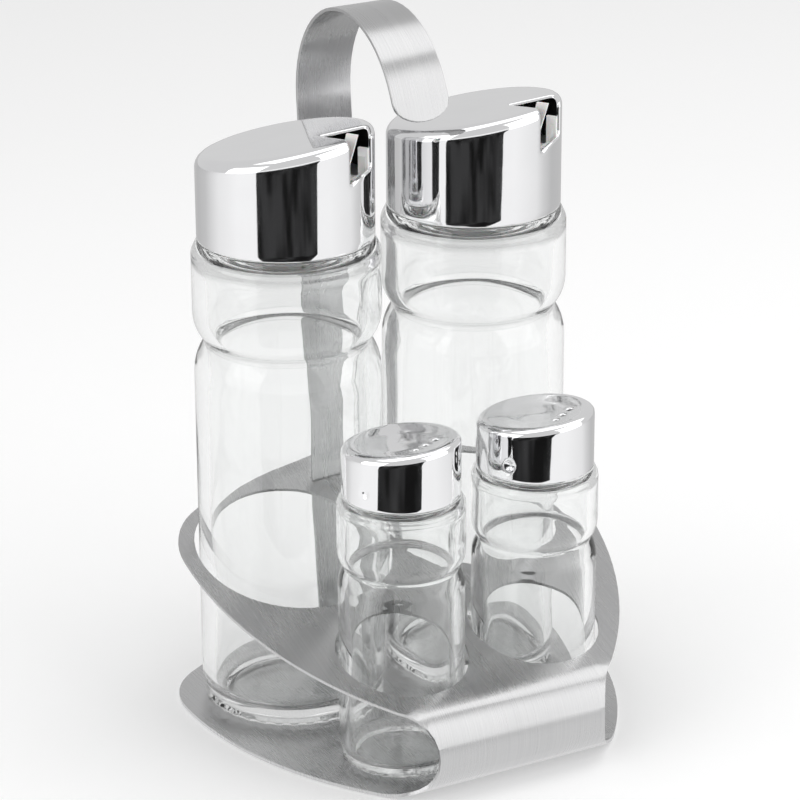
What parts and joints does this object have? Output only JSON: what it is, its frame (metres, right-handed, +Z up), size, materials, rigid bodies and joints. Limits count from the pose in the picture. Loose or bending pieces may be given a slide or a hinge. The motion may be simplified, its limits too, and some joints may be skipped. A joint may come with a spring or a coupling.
{
  "type": "cruet set",
  "caption": "Table cruet set: glass oil and vinegar bottles and glass shakers with slanted chrome screw caps, held in a bent sheet-steel stand with a strip handle.",
  "frame": {"origin": "on the underside of the stand's base plate, midway between the two bottles' axes", "axes": "+Z up, +X to the set's right seen from its front, +Y to its back"},
  "size_m": [0.1408, 0.1375, 0.2276],
  "materials": {
    "stand": "brushed along X",
    "handle": "brushed along its length",
    "glass": "clear",
    "cap": "mirror polished",
    "plastic": "white, satin",
    "seal": "matt"
  },
  "bodies": {
    "stand": {"stand_sheet": "stand", "handle_strip": "handle"},
    "bottle_left": {"bottle_left_glass": "glass"},
    "bottle_left_thread": {"bottle_left_seal": "seal"},
    "bottle_left_cap": {"bottle_left_cap_shell": "cap", "bottle_left_pourer": "plastic"},
    "bottle_right": {"bottle_right_glass": "glass"},
    "bottle_right_thread": {"bottle_right_seal": "seal"},
    "bottle_right_cap": {"bottle_right_cap_shell": "cap", "bottle_right_pourer": "plastic"},
    "shaker_left": {"shaker_left_glass": "glass"},
    "shaker_left_thread": {"shaker_left_seal": "seal"},
    "shaker_left_cap": {"shaker_left_cap_shell": "cap", "shaker_left_collar": "plastic"},
    "shaker_right": {"shaker_right_glass": "glass"},
    "shaker_right_thread": {"shaker_right_seal": "seal"},
    "shaker_right_cap": {"shaker_right_cap_shell": "cap", "shaker_right_collar": "plastic"}
  },
  "joints": [
    {"name": "bottle_left_lift_out", "type": "hinge", "parent": "stand", "child": "bottle_left", "pos_m": [-0.8838, 0, 0.026], "axis": [0, -1, 0], "range_deg": [0, 6.4]},
    {"name": "bottle_left_cap_turn", "type": "hinge", "parent": "bottle_left", "child": "bottle_left_thread", "pos_m": [-0.0338, 0, 0.16], "axis": [0, 0, 1], "range_deg": [0, 540]},
    {"name": "bottle_left_cap_rise", "type": "slide", "parent": "bottle_left_thread", "child": "bottle_left_cap", "axis": [0, 0, 1], "range_m": [0, 0.0046]},
    {"name": "bottle_right_lift_out", "type": "hinge", "parent": "stand", "child": "bottle_right", "pos_m": [0.8838, 0, 0.026], "axis": [0, 1, 0], "range_deg": [0, 6.4]},
    {"name": "bottle_right_cap_turn", "type": "hinge", "parent": "bottle_right", "child": "bottle_right_thread", "pos_m": [0.0338, 0, 0.16], "axis": [0, 0, 1], "range_deg": [0, 540]},
    {"name": "bottle_right_cap_rise", "type": "slide", "parent": "bottle_right_thread", "child": "bottle_right_cap", "axis": [0, 0, 1], "range_m": [0, 0.0046]},
    {"name": "shaker_left_lift_out", "type": "slide", "parent": "stand", "child": "shaker_left", "axis": [0, 0, 1], "range_m": [0, 0.1]},
    {"name": "shaker_left_cap_turn", "type": "hinge", "parent": "shaker_left", "child": "shaker_left_thread", "pos_m": [-0.0239, -0.05684, 0.0915], "axis": [0, 0, 1], "range_deg": [0, 450]},
    {"name": "shaker_left_cap_rise", "type": "slide", "parent": "shaker_left_thread", "child": "shaker_left_cap", "axis": [0, 0, 1], "range_m": [0, 0.0026]},
    {"name": "shaker_right_lift_out", "type": "slide", "parent": "stand", "child": "shaker_right", "axis": [0, 0, 1], "range_m": [0, 0.1]},
    {"name": "shaker_right_cap_turn", "type": "hinge", "parent": "shaker_right", "child": "shaker_right_thread", "pos_m": [0.0239, -0.05684, 0.0915], "axis": [0, 0, 1], "range_deg": [0, 450]},
    {"name": "shaker_right_cap_rise", "type": "slide", "parent": "shaker_right_thread", "child": "shaker_right_cap", "axis": [0, 0, 1], "range_m": [0, 0.0026]}
  ],
  "couplings": [
    {"joint": "bottle_left_cap_rise", "follows": "bottle_left_cap_turn", "m_per_rad": 0.0004775},
    {"joint": "bottle_right_cap_rise", "follows": "bottle_right_cap_turn", "m_per_rad": 0.0004775},
    {"joint": "shaker_left_cap_rise", "follows": "shaker_left_cap_turn", "m_per_rad": 0.0003183},
    {"joint": "shaker_right_cap_rise", "follows": "shaker_right_cap_turn", "m_per_rad": 0.0003183}
  ]
}
